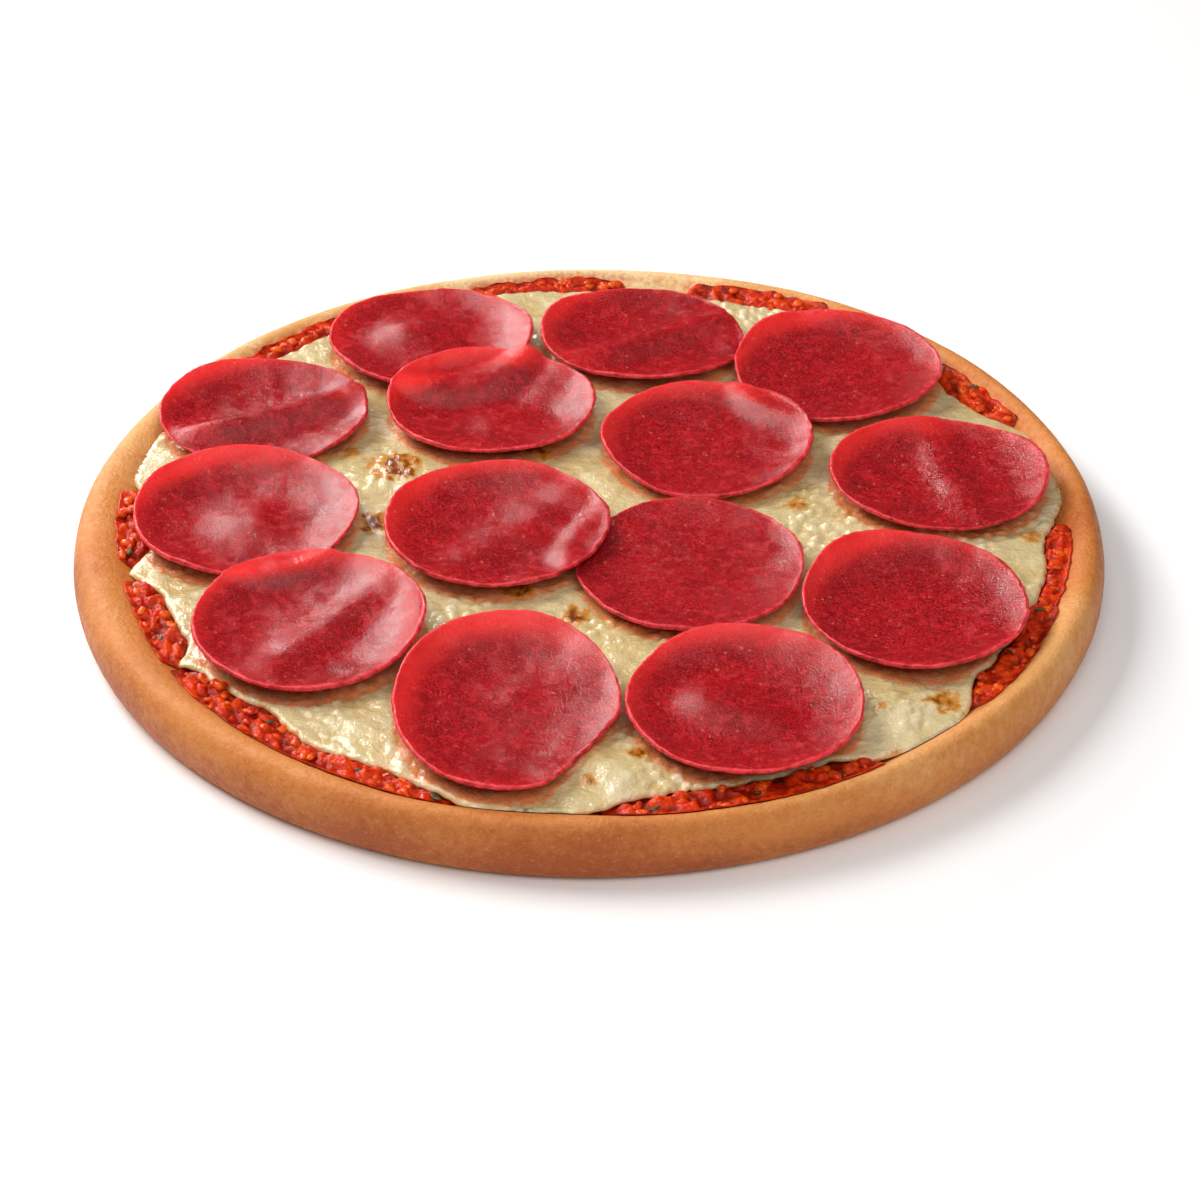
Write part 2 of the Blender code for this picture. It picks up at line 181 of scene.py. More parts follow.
def showPiece(name, mesh, material, slot, *nodes):
    mesh.materials.clear()
    mesh.materials.append(material)
    mesh.shade_smooth()
    piece = bpy.data.objects.new(name, mesh)
    bpy.context.scene.collection.objects.link(piece)
    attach(piece, "root")
    if nodes:
        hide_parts(*nodes)
    return piece


# helpers for finishes

def paint(red, green, blue):
    # a colour as seen on screen, 0 to 255, made linear
    return (*[(c / 255.0 / 12.92) if c <= 10 else ((c / 255.0 + 0.055) / 1.055) ** 2.4
              for c in (red, green, blue)], 1.0)


def addNode(tree, kind, inputs=None, **settings):
    node = tree.nodes.new(kind)
    for key, value in settings.items():
        setattr(node, key, value)
    for key, value in (inputs or {}).items():
        if isinstance(value, bpy.types.NodeSocket):
            tree.links.new(value, node.inputs[key])
        else:
            node.inputs[key].default_value = value
    return node


def noiseOf(tree, where, scale, detail=3.0, rough=0.55):
    return addNode(tree, "ShaderNodeTexNoise", {
        "Vector": where, "Scale": scale, "Detail": detail, "Roughness": rough,
    }).outputs["Fac"]


def cellsOf(tree, where, scale):
    return addNode(tree, "ShaderNodeTexVoronoi", {"Vector": where, "Scale": scale})


def spanOf(tree, value, low, high, toLow=0.0, toHigh=1.0):
    return addNode(tree, "ShaderNodeMapRange", {
        "Value": value, "From Min": low, "From Max": high, "To Min": toLow, "To Max": toHigh,
    }, clamp=True, interpolation_type="SMOOTHSTEP").outputs["Result"]


def mathOf(tree, operation, a, b=0.0):
    return addNode(tree, "ShaderNodeMath", {0: a, 1: b}, operation=operation).outputs[0]


def mixOf(tree, share, a, b):
    # sockets 6, 7 and 2 are the colours of this node
    return addNode(tree, "ShaderNodeMix", {0: share, 6: a, 7: b}, data_type="RGBA").outputs[2]


def bumpOf(tree, height, distance, strength=1.0, under=None):
    inputs = {"Height": height, "Distance": distance, "Strength": strength}
    if under is not None:
        inputs["Normal"] = under
    return addNode(tree, "ShaderNodeBump", inputs).outputs["Normal"]


def valueOf(tree, name):
    return addNode(tree, "ShaderNodeAttribute", attribute_name=name).outputs["Fac"]


def newFinish(name):
    material = bpy.data.materials.new(name)
    material.use_nodes = True
    tree = material.node_tree
    where = addNode(tree, "ShaderNodeTexCoord").outputs["Object"]
    return material, tree, tree.nodes["Principled BSDF"], where


def wire(tree, shader, **inputs):
    # what varies over the surface
    names = {"colour": "Base Color", "rough": "Roughness", "normal": "Normal",
             "glaze": "Coat Normal"}
    for key, value in inputs.items():
        tree.links.new(value, shader.inputs[names[key]])


def setShader(shader, **values):
    # what is the same all over the surface
    names = {"softness": "Subsurface Weight", "softReach": "Subsurface Radius",
             "softScale": "Subsurface Scale", "coat": "Coat Weight", "coatRough": "Coat Roughness",
             "shine": "Specular IOR Level"}
    for key, value in values.items():
        shader.inputs[names[key]].default_value = value


doughForm = {
    "outerRadius": 150.0 * mm,
    "rimFoot": 138.5 * mm,  # where the topping meets the rim
    "wellFloor": 10.6 * mm,
    "flatWell": 124.0 * mm,  # inside this the well is flat everywhere
    "backSag": 0.14,  # share by which the rim is lower at the back
    "segments": 144,
    "levels": 2,
    # from under the topping over the crest to the flat underside: (radius, height) in mm
    "profile": [(0, 10.6), (60, 10.6), (110, 10.6), (126, 10.6), (130.5, 10.6), (134, 11.6),
                (136.4, 13.6), (138.5, 15.5), (140.6, 17.2), (143.0, 18.35), (145.1, 18.55),
                (147.4, 17.7), (149.3, 15.0), (150.1, 10.6), (149.8, 6.0), (148.2, 2.0),
                (146.3, 0.15), (144.5, 0), (120, 0), (60, 0), (0, 0)],
    # the uneven rim by direction: (degrees, radius in mm)
    "footRadii": [(0, 138.7), (20, 140.0), (40, 139.6), (62, 141.6), (75, 139.4), (92, 140.8),
                  (110, 139.8), (135, 139.8), (160, 137.6), (175, 136.4), (190, 134.8),
                  (200, 134.8), (212, 136.4), (222, 137.8), (238, 138.8), (252, 140.0),
                  (267, 139.0), (280, 140.8), (294, 141.8), (310, 140.2), (324, 140.2),
                  (342, 138.4)],
    "outerRadii": [(0, 149.2), (20, 148.6), (42, 149.6), (65, 149.2), (90, 147.2),
                   (115, 148.0), (150, 148.6), (180, 149.6), (210, 150.0), (270, 150.0),
                   (315, 150.2), (340, 149.9)],
    "rimStart": 128.0 * mm,  # outside this the rim is uneven
    "swell": 0.30 * mm,  # broad unevenness of the baked rim
    "dimples": 0.12 * mm,
    "swellSize": 24.0 * mm,
    "dimpleSize": 4.0 * mm,
    "stainClimb": (0.5 * mm, 3.2 * mm),  # how far up the rim the sauce has coloured the dough
    "patchy": 0.16,  # how uneven the browning is
    "sideBake": 0.16,  # how much browner the side is, and its foot
    "footBake": 0.3,
    # how dark it is by direction, partly baked browner and partly painted light and shade, below 0 where
    # it is palest: (degrees, share)
    "oven": [(0, 0.62), (45, 0.42), (90, -0.25), (150, 0.05), (190, 0.46), (225, 0.44),
             (270, 0.60), (310, 0.10), (335, 0.20)],
}


def around(table, angle):
    # the smooth value at a direction, from (degrees, value) pairs
    turn = angle % 360.0
    for index, (start, value) in enumerate(table):
        end, nextValue = table[(index + 1) % len(table)]
        end = end if end > start else end + 360.0
        if start <= turn <= end:
            return value + (nextValue - value) * smoothStep(start, end, turn)
    return table[0][1]


def byQuarterDegree(table):
    return [around(table, index * 0.25) for index in range(1440)]


footByAngle = [radius * mm for radius in byQuarterDegree(doughForm["footRadii"])]
outerByAngle = [radius * mm for radius in byQuarterDegree(doughForm["outerRadii"])]
ovenByAngle = byQuarterDegree(doughForm["oven"])


def lookUp(values, angle):
    spot = (angle % 360.0) * len(values) / 360.0
    index = int(spot)
    share = spot - index
    return values[index % len(values)] * (1.0 - share) + values[(index + 1) % len(values)] * share


def rimPoint(radius, height, angle):
    span = doughForm["outerRadius"] - doughForm["rimFoot"]
    outward = min(max((radius - doughForm["rimFoot"]) / span, 0.0), 1.0)
    shiftIn = lookUp(footByAngle, angle) - doughForm["rimFoot"]
    shiftOut = lookUp(outerByAngle, angle) - doughForm["outerRadius"]
    sag = doughForm["backSag"] * 0.5 * (1.0 + math.sin(math.radians(angle)))
    sunk = max(height - doughForm["wellFloor"], 0.0) * sag
    return radius + shiftIn * (1.0 - outward) + shiftOut * outward, height - sunk


def doughHeight(radius, angle):
    # height of the well floor and the rim's inner slope, out to the crest
    if radius < doughForm["flatWell"]:
        return doughForm["wellFloor"]
    points = [(r * mm, z * mm) for r, z in doughForm["profile"][4:11]]
    inner = rimPoint(*points[0], angle)
    for point in points[1:]:
        outer = rimPoint(*point, angle)
        if radius <= outer[0]:
            share = max(radius - inner[0], 0.0) / (outer[0] - inner[0])
            return inner[1] + share * (outer[1] - inner[1])
        inner = outer
    return inner[1]


def doughFinish():
    material, tree, shader, where = newFinish("bakedDough")
    bakeAndShade = valueOf(tree, "bakeAndShade")
    stain = valueOf(tree, "stain")
    cloud = noiseOf(tree, where, 30.0, 4.0, 0.6)
    fine = noiseOf(tree, where, 420.0, 4.0, 0.6)
    specks = noiseOf(tree, where, 1300.0, 2.0, 0.6)
    blended = bakeAndShade
    for pattern, share in ((cloud, 0.7), (fine, 0.5)):
        uneven = mathOf(tree, "MULTIPLY", mathOf(tree, "SUBTRACT", pattern, 0.5), share)
        blended = mathOf(tree, "ADD", blended, uneven)
    # darker and paler by the bake-and-shade share: partly baked browning and partly painted light and
    # shade
    colour = mixOf(tree, spanOf(tree, blended, 0.0, 0.5), paint(234, 172, 104), paint(214, 130, 56))
    colour = mixOf(tree, spanOf(tree, blended, 0.4, 1.0), colour, paint(172, 80, 16))
    colour = mixOf(tree, spanOf(tree, blended, 0.0, -0.25), colour, paint(248, 212, 158))
    colour = mixOf(tree, spanOf(tree, specks, 0.56, 0.72, 0.0, 0.2), colour, paint(238, 190, 132))
    colour = mixOf(tree, spanOf(tree, specks, 0.42, 0.3, 0.0, 0.3), colour, paint(132, 64, 26))
    colour = mixOf(tree, mathOf(tree, "MULTIPLY", stain, spanOf(tree, fine, 0.3, 0.65)), colour,
                   paint(206, 96, 34))
    rough = spanOf(tree, fine, 0.3, 0.7, 0.44, 0.6)
    relief = bumpOf(tree, noiseOf(tree, where, 850.0, 5.0, 0.65), 0.0005, 1.0)
    relief = bumpOf(tree, noiseOf(tree, where, 190.0, 3.0, 0.5), 0.0005, 0.5, relief)
    wire(tree, shader, colour=colour, rough=rough, normal=relief)
    setShader(shader, shine=0.4)
    return material


def makeDough():
    points = [(r * mm, z * mm) for r, z in doughForm["profile"]]
    shape = turnedShape(points, doughForm["segments"])
    for vert in shape.verts:
        radius = math.hypot(vert.co.x, vert.co.y)
        if radius < doughForm["rimStart"]:
            continue
        angle = math.degrees(math.atan2(vert.co.y, vert.co.x))
        if vert.co.z < 8.0 * mm:  # the side below the rim
            shift = lookUp(outerByAngle, angle) - doughForm["outerRadius"]
            vert.co = polar(radius + shift, angle, vert.co.z)
        else:
            radius, height = rimPoint(radius, vert.co.z, angle)
            vert.co = polar(radius, angle, height)
    mesh = subdivided(meshFrom(shape, "crustDough"), doughForm["levels"])
    normals = [vert.normal.copy() for vert in mesh.vertices]
    bakeAndShade, stain = [], []
    for vert, normal in zip(mesh.vertices, normals):
        radius = vert.co.xy.length
        height = vert.co.z
        angle = math.degrees(math.atan2(vert.co.y, vert.co.x))
        outside = smoothStep(145.0 * mm, 150.0 * mm, radius)
        low = 1.0 - smoothStep(3.0 * mm, 15.0 * mm, height)
        broad = ripple(vert.co, 26.0 * mm, 3.0)
        # partly baked browning and partly painted light and shade by direction
        tone = lookUp(ovenByAngle, angle) + doughForm["patchy"] * broad
        tone += outside * (doughForm["sideBake"] + doughForm["footBake"] * low)
        bakeAndShade.append(min(max(tone, -0.3), 1.0))
        bared = smoothStep(2.0 * mm, 5.0 * mm, lookUp(depthByAngle, angle))
        climb = radius - lookUp(footByAngle, angle)
        stain.append((0.25 + 0.6 * bared) * (1.0 - smoothStep(*doughForm["stainClimb"], climb)))
        if radius > 130.0 * mm and height > 1.2 * mm:
            swell = doughForm["swell"] * (0.5 + 0.5 * ripple(vert.co, doughForm["swellSize"], 1.0))
            dimple = doughForm["dimples"] * (0.5 + 0.5 * ripple(vert.co, doughForm["dimpleSize"], 2.0))
            keep = smoothStep(1.2 * mm, 4.0 * mm, height)
            vert.co -= normal * (swell + dimple) * keep
    addValues(mesh, "bakeAndShade", bakeAndShade)
    addValues(mesh, "stain", stain)
    showPiece("crustDough", mesh, doughFinish(), "dough", "crust")
    print("crust dough made,", len(mesh.polygons), "faces")


sauceForm = {
    # where the cheese draws back: (direction, half width, depth in mm, climb up the rim in mm)
    "patches": [(133, 13, 6.5, 1.0), (96, 15, 7.0, 0.6), (67, 14, 6.5, 1.6), (31, 12, 8.0, 0.6),
                (-11, 15, 6.5, 0.6), (-29, 16, 8.0, 0.8), (-72, 20, 9.5, 2.6),
                (-117, 15, 7.5, 1.4), (-135, 15, 9.5, 1.2), (-157, 12, 10.0, 1.0),
                (-178, 11, 7.5, 1.6)],
    "level": 13.2 * mm,
    "heap": 15.7 * mm,  # about level with the cheese where it is bare
    "hidden": 6.5 * mm,  # how far in the sauce ends where cheese covers it
    "segments": 1260,
    "rings": 30,
    "lumpRise": 2.3 * mm,
    # what the lumps are made of: (size, share, seed)
    "rounded": [(4.2 * mm, 0.4, 4.0), (1.9 * mm, 0.15, 9.0)],
    "mashed": [(4.4 * mm, 0.55, 12.0), (1.7 * mm, 0.28, 17.0)],
    "thinEdge": 3.2 * mm,  # width over which the sauce thins out up the rim
    "gap": 0.12 * mm,  # over the dough
}


def baredPatch(angle):
    depth, climb = 0.0, 0.0
    for direction, halfWidth, patchDepth, patchClimb in sauceForm["patches"]:
        share = 1.0 - smoothStep(0.4, 1.05, abs(turnBetween(angle, direction)) / halfWidth)
        if patchDepth * share > depth:
            depth, climb = patchDepth * share, patchClimb
    return depth * mm, climb * mm


def plainCheeseEdge(angle):
    depth, _ = baredPatch(angle)
    wave = noise.noise(polar(9.0, angle, 2.7))
    return lookUp(footByAngle, angle) + 0.4 * mm - depth * (1.0 + 0.25 * wave)


patchByAngle = [baredPatch(index * 0.25) for index in range(1440)]
depthByAngle = [depth for depth, _ in patchByAngle]
climbByAngle = [climb for _, climb in patchByAngle]
edgeByAngle = [plainCheeseEdge(index * 0.25) for index in range(1440)]


def cheeseEdge(angle):
    # the cheese's outline, with the small tongues and bays that melting leaves
    bared = smoothStep(1.0 * mm, 4.0 * mm, lookUp(depthByAngle, angle))
    spot = polar(0.138, angle, 0.0)
    tongues = 1.1 * mm * ripple(spot, 7.0 * mm, 5.0) + 0.5 * mm * ripple(spot, 2.6 * mm, 6.0)
    return lookUp(edgeByAngle, angle) + tongues * (0.35 + 0.65 * bared) - 0.3 * mm


def sauceFinish():
    material, tree, shader, where = newFinish("tomatoSauce")
    hollow = valueOf(tree, "hollow")
    pulp = noiseOf(tree, where, 300.0, 3.0, 0.6)
    fine = noiseOf(tree, where, 900.0, 3.0, 0.6)
    colour = mixOf(tree, spanOf(tree, pulp, 0.34, 0.66), paint(196, 32, 3), paint(228, 68, 8))
    colour = mixOf(tree, spanOf(tree, fine, 0.6, 0.74, 0.0, 0.45), colour, paint(246, 118, 24))
    # darker in the hollows between lumps: painted shade
    colour = mixOf(tree, spanOf(tree, hollow, 0.35, 0.95, 0.0, 0.85), colour, paint(112, 10, 2))
    rough = spanOf(tree, fine, 0.3, 0.7, 0.14, 0.4)
    relief = bumpOf(tree, fine, 0.0005, 0.8)
    relief = bumpOf(tree, pulp, 0.0010, 0.7, relief)
    wire(tree, shader, colour=colour, rough=rough, normal=relief)
    setShader(shader, shine=0.18)
    return material


def sauceSpot(share, angle, top):
    # a point of the sauce, and how deep in a hollow it lies, which the finish darkens as painted shade
    foot = lookUp(footByAngle, angle)
    depth = lookUp(depthByAngle, angle)
    bare = smoothStep(1.5 * mm, 5.0 * mm, depth)
    edge = foot - sauceForm["hidden"] + (sauceForm["hidden"] + lookUp(climbByAngle, angle)) * bare
    edge += 0.9 * mm * ripple(polar(0.14, angle, 0.0), 4.0 * mm, 8.0) * bare
    radius = edge * share
    floor = doughHeight(radius, angle) + sauceForm["gap"]
    if not top:
        return polar(radius, angle, floor), 0.5
    spot = polar(radius, angle, 0.0)
    level = max(sauceForm["level"], floor + 0.15 * mm)
    beyond = smoothStep(-1.0 * mm, 1.5 * mm, radius - cheeseEdge(angle))
    warped = spot + Vector((1.0, 0.7, 0.0)) * (1.2 * mm * ripple(spot, 5.0 * mm, 40.0))
    chunks = 0.22 + sum(part * lumps(warped, size, seed) for size, part, seed in sauceForm["rounded"])
    chunks += sum(part * ripple(spot, size, seed) for size, part, seed in sauceForm["mashed"])
    heap = sauceForm["heap"] + (chunks - 0.55) * sauceForm["lumpRise"]
    thin = 1.0 - smoothStep(-sauceForm["thinEdge"], 0.0, radius - edge)
    heap = floor + 0.15 * mm + max(heap - floor, 0.5 * mm) * (0.12 + 0.88 * thin ** 0.7)
    height = level + max(heap - level, 0.0) * beyond * bare
    return polar(radius, angle, height), 1.0 - chunks


def makeSauce():
    rings = [0.4, 0.75, 0.84, 0.88]
    rings += [0.89 + 0.11 * step / sauceForm["rings"] for step in range(sauceForm["rings"] + 1)]
    points = [(0.0, 1.0)] + [(share, 1.0) for share in rings]
    points += [(share, 0.0) for share in (1.0, 0.93, 0.84, 0.4)] + [(0.0, 0.0)]
    shape = turnedShape(points, sauceForm["segments"])
    hollowBy = {}
    for vert in shape.verts:
        angle = math.degrees(math.atan2(vert.co.y, vert.co.x))
        vert.co, hollowBy[vert] = sauceSpot(min(vert.co.xy.length, 1.0), angle, vert.co.z > 0.5)
    shape.verts.index_update()
    hollow = [hollowBy[vert] for vert in shape.verts]
    mesh = meshFrom(shape, "sauceLayer")
    addValues(mesh, "hollow", hollow)
    showPiece("sauceLayer", mesh, sauceFinish(), "sauce", "sauce")
    print("sauce layer made,", len(mesh.polygons), "faces")


tomatoForm = {
    "count": 170,
    "sizes": (1.0, 3.4),  # smallest and largest across, in mm
    "roughness": 0.35,  # how far a bit is from round
}


def tomatoFinish():
    material, tree, shader, where = newFinish("tomatoPulp")
    pulp = noiseOf(tree, where, 260.0, 3.0, 0.6)
    fine = noiseOf(tree, where, 1000.0, 2.0, 0.6)
    colour = mixOf(tree, spanOf(tree, pulp, 0.38, 0.62), paint(196, 36, 6), paint(232, 90, 14))
    colour = mixOf(tree, spanOf(tree, fine, 0.58, 0.72, 0.0, 0.5), colour, paint(244, 140, 40))
    relief = bumpOf(tree, fine, 0.0004, 0.8)
    wire(tree, shader, colour=colour, rough=spanOf(tree, fine, 0.3, 0.7, 0.12, 0.3), normal=relief)
    setShader(shader, shine=0.3)
    return material


def makeTomato():
    # small bits of tomato that lie half sunk in the bared sauce
    picker = random.Random(11)
    shape = bmesh.new()
    made = 0
    while made < tomatoForm["count"]:
        angle = picker.uniform(0.0, 360.0)
        depth = lookUp(depthByAngle, angle)
        inward = picker.random()
        size = picker.uniform(*tomatoForm["sizes"]) * mm
        if depth < 4.5 * mm:
            continue
        edge = lookUp(footByAngle, angle) + lookUp(climbByAngle, angle) - 0.8 * mm
        start = cheeseEdge(angle) + 0.4 * mm
        radius = start + (edge - start) * inward
        place, _ = sauceSpot(1.0, angle, True)
        top, _ = sauceSpot(min(radius / place.xy.length, 1.0), angle, True)
        bit = bmesh.ops.create_icosphere(shape, subdivisions=2, radius=0.5)["verts"]
        flat, stretch = picker.uniform(0.5, 0.8), picker.uniform(1.0, 1.6)
        turn = picker.uniform(0.0, math.tau)
        for vert in bit:
            swell = 1.0 + tomatoForm["roughness"] * ripple(vert.co, 0.6, made * 1.3)
            x, y, z = vert.co * size * swell
            x *= stretch
            vert.co = top + Vector((x * math.cos(turn) - y * math.sin(turn),
                                    x * math.sin(turn) + y * math.cos(turn), z * flat))
        made += 1
    mesh = meshFrom(shape, "tomatoBits")
    showPiece("tomatoBits", mesh, tomatoFinish(), "sauce")
    print("tomato bits made,", made)


sliceForm = {
    "thickness": 1.5 * mm,
    "clearance": 1.0 * mm,  # between a slice and one that it lies on
    "cupPower": 3.0,  # the higher, the flatter the middle
    "segments": 132,
    "topRings": 30,
    "underRings": 8,
    # (share of the radius, share of the thickness)
    "cutEdge": [(0.993, 0.97), (0.999, 0.82), (1.0, 0.5), (0.998, 0.25), (0.99, 0.05)],
    "overCheese": 0.7 * mm,  # how far a slice's flat middle lies above the plain cheese
    # dents of the top: (size, depth, seed)
    "dents": [(8.0 * mm, 0.42 * mm, 11.0), (2.8 * mm, 0.14 * mm, 12.0)],
    "grit": (1.1 * mm, 0.035 * mm, 15.0),
    "ragged": 0.35 * mm,  # unevenness of the cut edge
    "wave": 1.0 * mm,  # slow rise and fall of the lifted edge
    "waveSize": 15.0 * mm,
    "backLight": 125.0,  # where light comes through the lifted walls from, in degrees
    # the lowest of the pile first, in mm and degrees: over lists the slices that it lies on,
    # cup is the rise of the whole edge, curls are (direction, rise, spread) of lifted edges,
    # folds (direction, offset, rise, width) of ridges, mounds (x, y, rise, width) of domes,
    # and cut (direction, distance) is where a lobe of cheese has run over the slice
    "pieces": [
        {"number": 1, "over": [], "centre": (-49.8, 94.8), "radii": (31.9, 30.0), "cup": 4.2,
         "curls": [(5, 3.4, 40), (205, 1.4, 45), (-62, -2.6, 42)], "folds": [],
         "mounds": [(-0.18, 0.08, 5.6, 0.42)]},
        {"number": 2, "over": [], "centre": (16.1, 96.2), "radii": (32.2, 29.0), "cup": 4.0,
         "curls": [(170, 3.0, 42), (-85, 1.6, 50), (-10, -2.4, 34)],
         "folds": [(35, -0.10, 4.4, 0.22)], "mounds": []},
        {"number": 3, "over": [2], "centre": (76.4, 76.6), "radii": (32.5, 31.1), "cup": 4.8,
         "curls": [(130, 2.4, 55), (0, 1.6, 40), (-130, -3.0, 38)], "folds": [], "mounds": []},
        {"number": 4, "over": [], "centre": (-98.4, 51.2), "radii": (32.2, 28.1), "cup": 3.8,
         "curls": [(140, 3.2, 50), (-10, 1.2, 38), (-92, -2.4, 42)],
         "folds": [(29, -0.14, 5.4, 0.20)], "mounds": []},
        {"number": 6, "over": [3], "centre": (35.2, 34.8), "radii": (32.1, 30.2), "cup": 4.8,
         "curls": [(110, 1.4, 50), (180, 1.6, 35), (5, 1.6, 40), (-97, -3.0, 40)],
         "folds": [], "mounds": []},
        {"number": 7, "over": [], "centre": (102.9, 15.5), "radii": (32.3, 29.3), "cup": 4.4,
         "curls": [(140, 2.6, 45), (5, 1.8, 40), (-72, -1.6, 35)],
         "folds": [(100, -0.12, 3.0, 0.20)], "mounds": []},
        {"number": 10, "over": [], "centre": (28.6, -30.7), "radii": (32.5, 33.6), "cup": 3.4,
         "curls": [(0, 1.6, 42), (100, 0.6, 45), (160, -2.6, 38)], "folds": [],
         "mounds": [(0.1, 0.0, 0.8, 0.5)]},
        {"number": 5, "over": [1], "centre": (-29.9, 54.8), "radii": (32.3, 29.5), "cup": 4.4,
         "curls": [(135, 3.0, 52), (10, 1.8, 40), (-80, 1.0, 45)],
         "folds": [(-32, 0.22, -1.8, 0.25), (62, -0.25, 1.6, 0.25)], "mounds": []},
        {"number": 8, "over": [4], "centre": (-99.2, -4.9), "radii": (33.3, 31.3), "cup": 4.6,
         "curls": [(125, 3.2, 52), (-5, 1.4, 36), (-66, -3.0, 38)], "folds": [],
         "mounds": [(0.05, -0.08, 2.8, 0.30)]},
        {"number": 9, "over": [10], "centre": (-26.6, -11.8), "radii": (32.8, 32.0), "cup": 4.4,
         "curls": [(165, 2.6, 45), (95, 1.2, 45), (-5, 0.4, 35)],
         "folds": [(50, -0.14, 2.2, 0.22)], "mounds": []},
        {"number": 13, "over": [], "centre": (-21.9, -97.9), "radii": (30.6, 39.1), "cup": 4.8,
         "curls": [(95, 3.2, 52), (175, 2.2, 42)],
         "folds": [(22, 0.1, 1.5, 0.20)], "mounds": [], "cut": (-33, 29.5)},
        {"number": 12, "over": [8], "centre": (-77.0, -59.9), "radii": (32.6, 33.5), "cup": 4.4,
         "curls": [(95, 1.2, 45), (0, 4.6, 38), (185, 0.8, 40)],
         "folds": [(53, -0.15, 3.2, 0.20)], "mounds": []},
        {"number": 11, "over": [], "centre": (90.6, -50.7), "radii": (31.9, 32.6), "cup": 4.6,
         "curls": [(132, 3.2, 45), (10, 1.2, 40), (-50, 0.6, 40)], "folds": [], "mounds": []},
        {"number": 14, "over": [], "centre": (41.8, -97.7), "radii": (32.7, 32.8), "cup": 5.2,
         "curls": [(90, 1.2, 60), (0, 1.0, 45)], "folds": [],
         "mounds": [(-0.24, 0.05, 4.0, 0.30), (0.14, -0.16, 2.4, 0.24)]},
    ],
}


def sliceShare(piece, x, y):
    # where x, y lies on a slice, as shares of its two radii
    return ((x - piece["centre"][0] * mm) / (piece["radii"][0] * mm),
            (y - piece["centre"][1] * mm) / (piece["radii"][1] * mm))


def sliceRise(piece, x, y):
    # the slice's own form: its cupped edge, curls, ridges and domes
    across, along = sliceShare(piece, x, y)
    reach = math.hypot(across, along)
    direction = math.degrees(math.atan2(along, across))
    wall = reach ** sliceForm["cupPower"]
    rise = piece["cup"] * wall
    for curlDirection, curlRise, spread in piece["curls"]:
        rise += curlRise * math.exp(-((turnBetween(direction, curlDirection) / spread) ** 2)) * wall
    inside = max(1.0 - reach ** 4, 0.0)
    for foldDirection, offset, foldRise, width in piece["folds"]:
        foldX, foldY = heading(foldDirection)
        distance = along * foldX - across * foldY - offset
        rise += foldRise * math.exp(-((distance / width) ** 2)) * inside
    for moundX, moundY, moundRise, width in piece["mounds"]:
        distance = math.hypot(across - moundX, along - moundY)
        rise += moundRise * math.exp(-((distance / width) ** 2)) * inside
    return rise * mm


def sliceUnder(index, x, y):
    # the height of a slice's underside, lifted by the cheese and by the slices below it
    piece = sliceForm["pieces"][index]
    height = cheeseForm["level"] + sliceForm["overCheese"] + sliceRise(piece, x, y)
    height = smoothMax(height, cheeseHeight(x, y) + 0.55 * mm, 0.6 * mm)
    radius = math.hypot(x, y)
    if radius > doughForm["rimStart"]:
        rim = doughHeight(radius, math.degrees(math.atan2(y, x)))
        height = smoothMax(height, rim + 0.6 * mm, 0.6 * mm)
    for lowerIndex, lower in enumerate(sliceForm["pieces"][:index]):
        if lower["number"] not in piece["over"]:
            continue
        reach = math.hypot(*sliceShare(lower, x, y))
        beyond = max(reach - 1.0, 0.0) * lower["radii"][0] * mm
        if beyond > 12.0 * mm:
            continue
        shrink = min(1.0, 1.0 / max(reach, 0.000001))
        nearX = lower["centre"][0] * mm + (x - lower["centre"][0] * mm) * shrink
        nearY = lower["centre"][1] * mm + (y - lower["centre"][1] * mm) * shrink
        support = sliceUnder(lowerIndex, nearX, nearY) + sliceForm["thickness"] * 1.15
        support += sliceForm["clearance"] - 0.7 * max(beyond - 3.0 * mm, 0.0)
        height = smoothMax(height, support, 1.2 * mm)
    return height


def slicePlace(index, share, angle, level):
    # a point of a slice; level is 0 underneath and 1 on top
    piece = sliceForm["pieces"][index]
    outline = 1.0 + 0.012 * math.cos(math.radians(2 * angle + 70 * index))
    outline += 0.008 * math.cos(math.radians(5 * angle + 40 * index))
    across, along = heading(angle)
    x = piece["radii"][0] * across * outline
    y = piece["radii"][1] * along * outline
    if "cut" in piece:
        cutDirection, distance = piece["cut"]
        cutX, cutY = heading(cutDirection)
        trim = min(1.0, distance / max(x * cutX + y * cutY, distance))
        x, y = x * trim, y * trim
    x = (piece["centre"][0] + x * share) * mm
    y = (piece["centre"][1] + y * share) * mm
    height = sliceUnder(index, x, y)
    if level == 0.0:
        return Vector((x, y, height))
    step = 0.5 * mm
    slopeX = (sliceUnder(index, x + step, y) - height) / step
    slopeY = (sliceUnder(index, x, y + step) - height) / step
    normal = Vector((-slopeX, -slopeY, 1.0)).normalized()
    return Vector((x, y, height)) + normal * sliceForm["thickness"] * level


